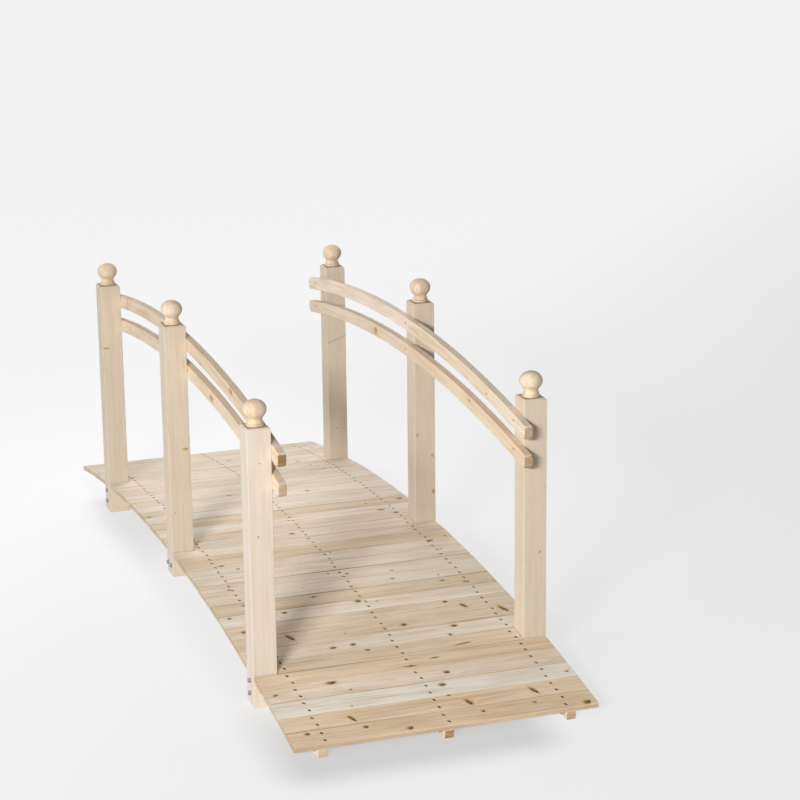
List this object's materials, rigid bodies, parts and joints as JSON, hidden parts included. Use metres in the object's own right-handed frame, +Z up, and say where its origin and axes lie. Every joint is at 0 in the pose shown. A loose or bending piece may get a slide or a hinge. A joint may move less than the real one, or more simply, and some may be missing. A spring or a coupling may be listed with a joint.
{
  "type": "garden moon bridge",
  "caption": "Arched timber garden bridge with a boarded deck on curved joists, square posts with turned ball finials, and a pair of arched rails on each side.",
  "frame": {"origin": "on the ground under the crown of the arch, at the middle of the bridge", "axes": "+X along the bridge towards the end nearest the camera in the picture, +Y across it towards the picture's right, +Z up"},
  "size_m": [2.2828, 0.7532, 0.809],
  "materials": {
    "fir_board": "unfinished planed fir",
    "fir_joist": "unfinished sawn fir",
    "fir_post": "unfinished planed fir",
    "fir_turned": "unfinished turned fir",
    "fir_rail": "unfinished planed fir",
    "zinc_bolt": "dull zinc plate"
  },
  "bodies": {
    "root": {"joist_left": "fir_joist", "joist_centre": "fir_joist", "joist_right": "fir_joist", "boards_near_end": "fir_board", "boards_near_post": "fir_board", "boards_near_bay": "fir_board", "boards_crown": "fir_board", "boards_far_bay": "fir_board", "boards_far_post": "fir_board", "boards_far_end": "fir_board", "post_near_left": "fir_post", "finial_near_left": "fir_turned", "post_near_right": "fir_post", "finial_near_right": "fir_turned", "post_mid_left": "fir_post", "finial_mid_left": "fir_turned", "post_mid_right": "fir_post", "finial_mid_right": "fir_turned", "post_far_left": "fir_post", "finial_far_left": "fir_turned", "post_far_right": "fir_post", "finial_far_right": "fir_turned", "rail_upper_left": "fir_rail", "rail_upper_right": "fir_rail", "rail_lower_left": "fir_rail", "rail_lower_right": "fir_rail", "bolts_left": "zinc_bolt", "bolts_right": "zinc_bolt"}
  },
  "joints": []
}
